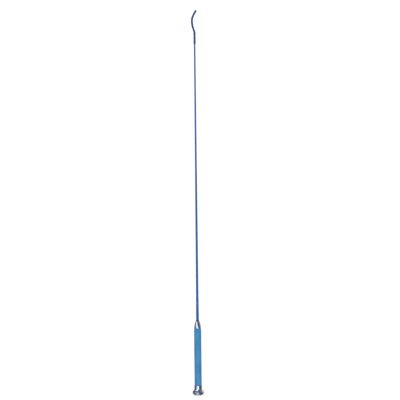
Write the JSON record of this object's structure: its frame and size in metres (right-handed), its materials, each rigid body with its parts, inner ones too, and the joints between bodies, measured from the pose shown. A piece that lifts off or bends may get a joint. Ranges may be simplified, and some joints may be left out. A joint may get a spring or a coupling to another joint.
{
  "type": "dressage whip",
  "caption": "Long slim riding whip: tapered braided shaft with a curved lash whipped to its tip, soft cylindrical grip, polished ferrule and flared mushroom pommel.",
  "frame": {"origin": "on the whip's axis, at the middle of the grip's straight stretch, where the hand holds it", "axes": "+Z along the whip from the pommel to the lash; +X towards the side that the lash's tip curls to"},
  "size_m": [0.0328, 0.0328, 1.1],
  "materials": {
    "fibreglass": "smooth pultruded glass fibre",
    "braid_blue": "fine tight braid, lightly lacquered",
    "lash_navy": "coarser braid, unlacquered",
    "core_yarn": "straight raw yarns",
    "thread_navy": "waxed thread, wound",
    "tube_black": "glass-filled nylon",
    "nylon": "natural moulded nylon",
    "brass": "turned",
    "grip_blue": "soft matt gel rubber with a fine grain",
    "chrome_plate": "polished chrome plate",
    "collar_navy": "satin",
    "steel": "zinc plated"
  },
  "bodies": {
    "whip": {"core_rod": "fibreglass", "shaft_braid": "braid_blue", "lash_tail": "lash_navy", "whipping_lower": "thread_navy", "whipping_middle": "thread_navy", "whipping_upper": "thread_navy", "handle_tube": "tube_black", "upper_bush": "nylon", "lower_bush": "nylon", "balance_weight": "brass", "grip_sleeve": "grip_blue", "ferrule": "chrome_plate", "ferrule_collar": "collar_navy", "pommel_cap": "chrome_plate", "pommel_button": "chrome_plate", "pommel_plug": "nylon", "pommel_washer": "steel", "pommel_screw": "steel"},
    "lash": {"lash": "lash_navy", "lash_core": "core_yarn"}
  },
  "joints": [
    {"name": "lash_flex", "type": "hinge", "parent": "whip", "child": "lash", "pos_m": [-0.0022, 0, 0.9375], "axis": [0, 1, 0], "range_deg": [-60, 60], "stiffness_Nm_per_rad": 0.01}
  ]
}
